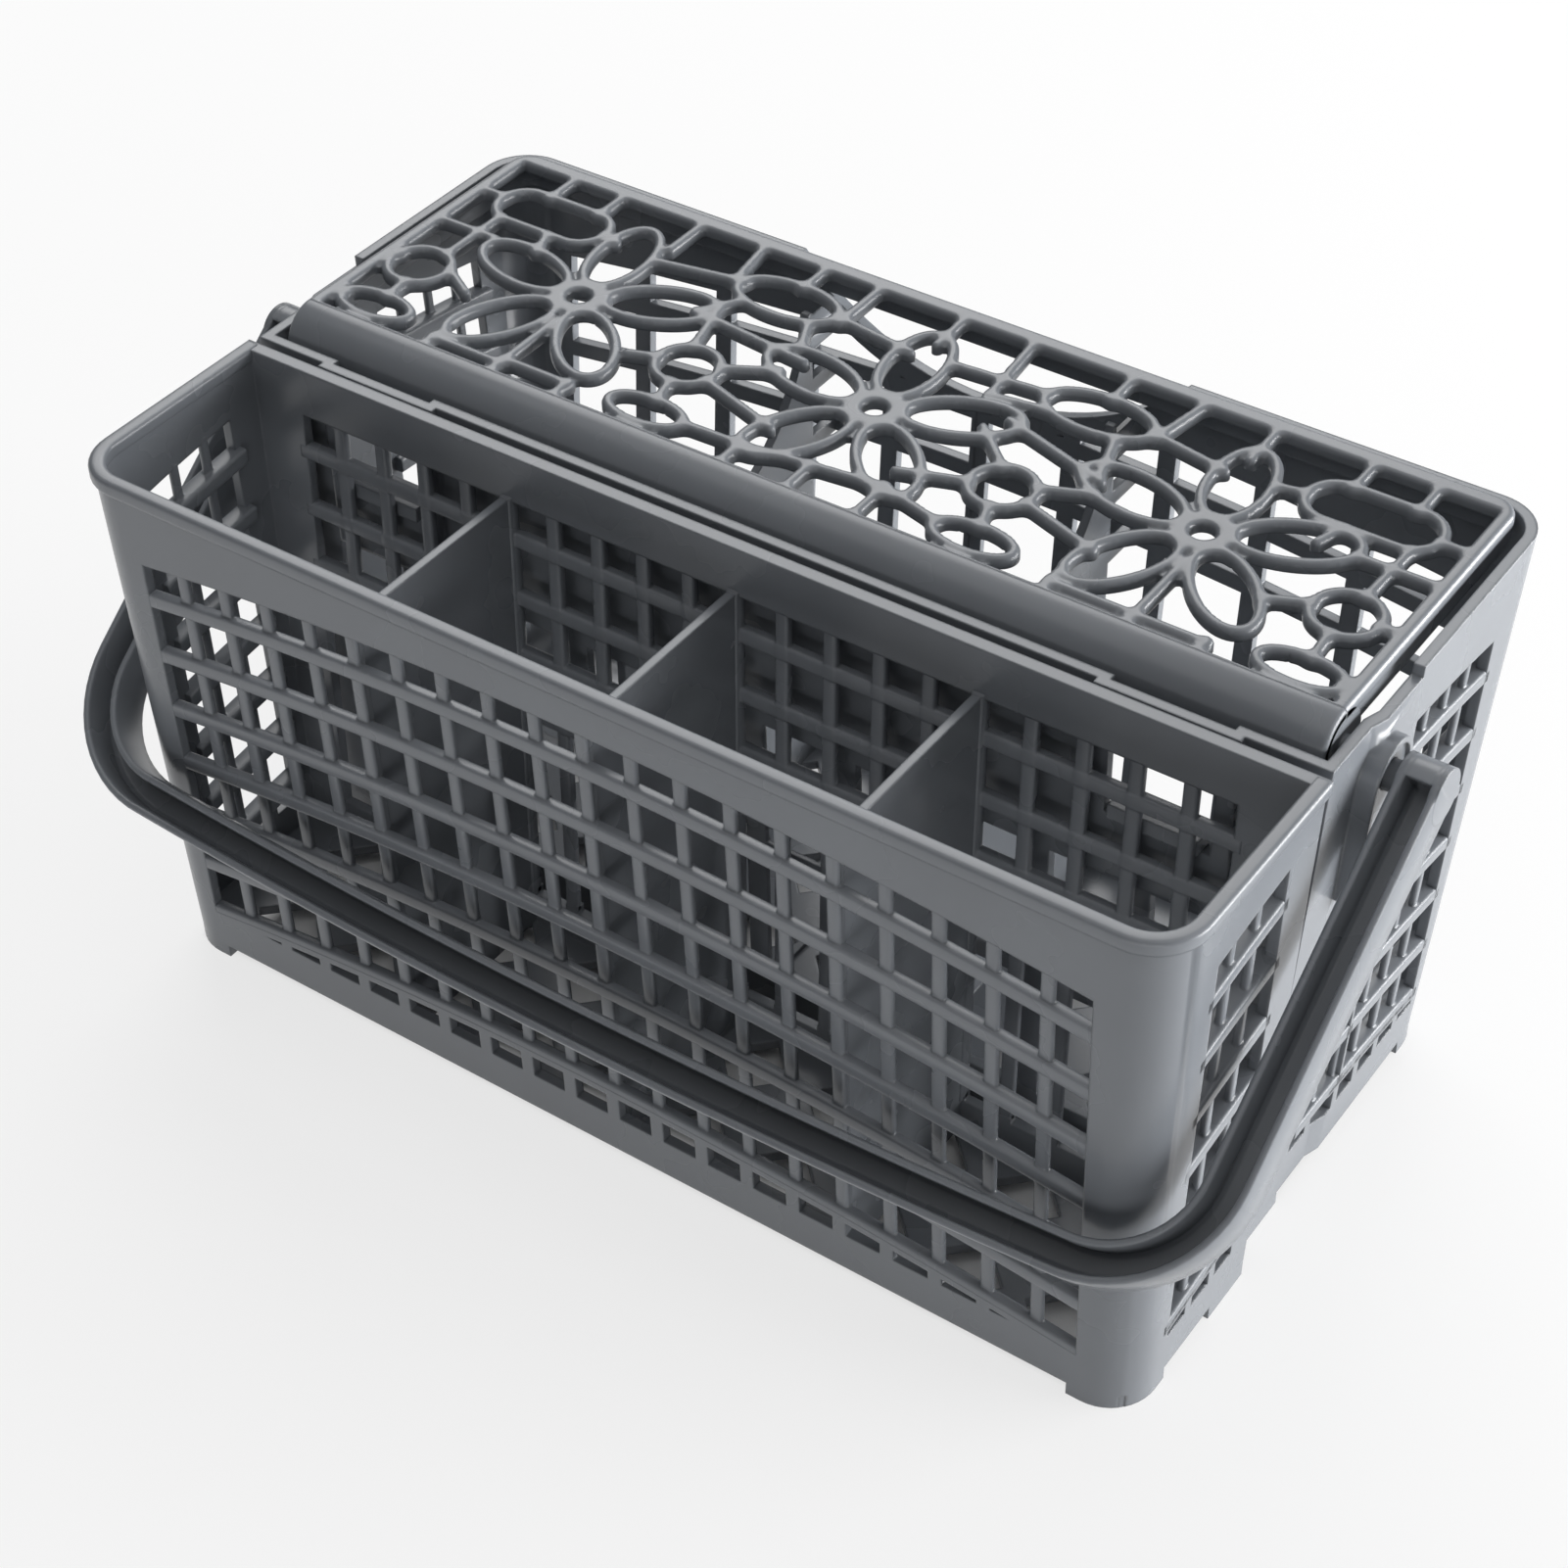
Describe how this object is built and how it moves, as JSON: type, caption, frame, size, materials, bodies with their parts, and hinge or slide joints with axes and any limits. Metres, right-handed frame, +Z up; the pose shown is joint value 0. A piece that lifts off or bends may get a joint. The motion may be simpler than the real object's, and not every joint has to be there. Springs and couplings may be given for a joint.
{
  "type": "dishwasher cutlery basket",
  "caption": "Moulded dishwasher cutlery basket: a lift-off front tub hung on a rear tub, arched square-hole walls, a hinged flower-grille lid and a bail handle.",
  "frame": {"origin": "middle of the bounding box, on the floor under the feet", "axes": "+X along the length, +Y from the front tub towards the rear tub, +Z up"},
  "size_m": [0.2612, 0.1498, 0.126],
  "materials": {
    "grey_plastic": "satin polypropylene"
  },
  "bodies": {
    "rear_basket": {"rear_basket": "grey_plastic"},
    "front_basket": {"front_basket": "grey_plastic"},
    "lid": {"lid": "grey_plastic"},
    "handle": {"handle": "grey_plastic"}
  },
  "joints": [
    {"name": "handle_swing", "type": "hinge", "parent": "rear_basket", "child": "handle", "pos_m": [0, 0.01031, 0.1092], "axis": [-1, 0, 0], "range_deg": [0, 250]},
    {"name": "lid_hinge", "type": "hinge", "parent": "rear_basket", "child": "lid", "pos_m": [0, 0.00271, 0.1185], "axis": [1, 0, 0], "range_deg": [0, 95]},
    {"name": "front_basket_lift", "type": "slide", "parent": "rear_basket", "child": "front_basket", "axis": [0, 0, 1], "range_m": [0, 0.012]}
  ]
}
